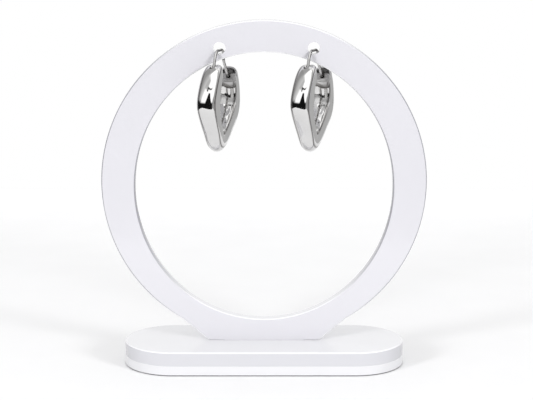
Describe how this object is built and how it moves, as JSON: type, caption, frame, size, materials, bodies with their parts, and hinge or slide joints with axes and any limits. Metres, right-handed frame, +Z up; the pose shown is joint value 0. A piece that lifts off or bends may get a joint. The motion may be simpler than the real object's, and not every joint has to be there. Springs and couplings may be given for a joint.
{
  "type": "hoop earring pair on ring display stand",
  "caption": "Chunky polished silver hoop earrings with hinged ear wires, hung from the drilled holes of a plain white acrylic ring stand on a round-ended base.",
  "frame": {"origin": "middle of the base's underside, on the surface the stand rests on", "axes": "+Z up the ring's height, +X to the right along the base's length, -Y towards the viewer in front, where the hinge ends of the hoops hang"},
  "size_m": [0.08, 0.025, 0.086],
  "materials": {
    "white_acrylic": "polished white acrylic sheet",
    "frosted_acrylic": "polished white acrylic sheet, the lower layer of the base",
    "polished_silver": "mirror polished silver"
  },
  "bodies": {
    "stand": {"base_lower_sheet": "frosted_acrylic", "base_upper_sheet": "white_acrylic", "ring_plate": "white_acrylic", "left_hoop_body": "polished_silver", "left_hinge_pin": "polished_silver", "left_latch_plate": "polished_silver", "right_hoop_body": "polished_silver", "right_hinge_pin": "polished_silver", "right_latch_plate": "polished_silver"},
    "left_wire": {"left_ear_wire": "polished_silver"},
    "right_wire": {"right_ear_wire": "polished_silver"}
  },
  "joints": [
    {"name": "left_wire_hinge", "type": "hinge", "parent": "stand", "child": "left_wire", "pos_m": [-0.01218, -0.00379, 0.0741], "axis": [0.9397, -0.342, 0], "range_deg": [0, 8]},
    {"name": "right_wire_hinge", "type": "hinge", "parent": "stand", "child": "right_wire", "pos_m": [0.01044, -0.0037, 0.0741], "axis": [0.9171, -0.3987, 0], "range_deg": [0, 8]}
  ]
}
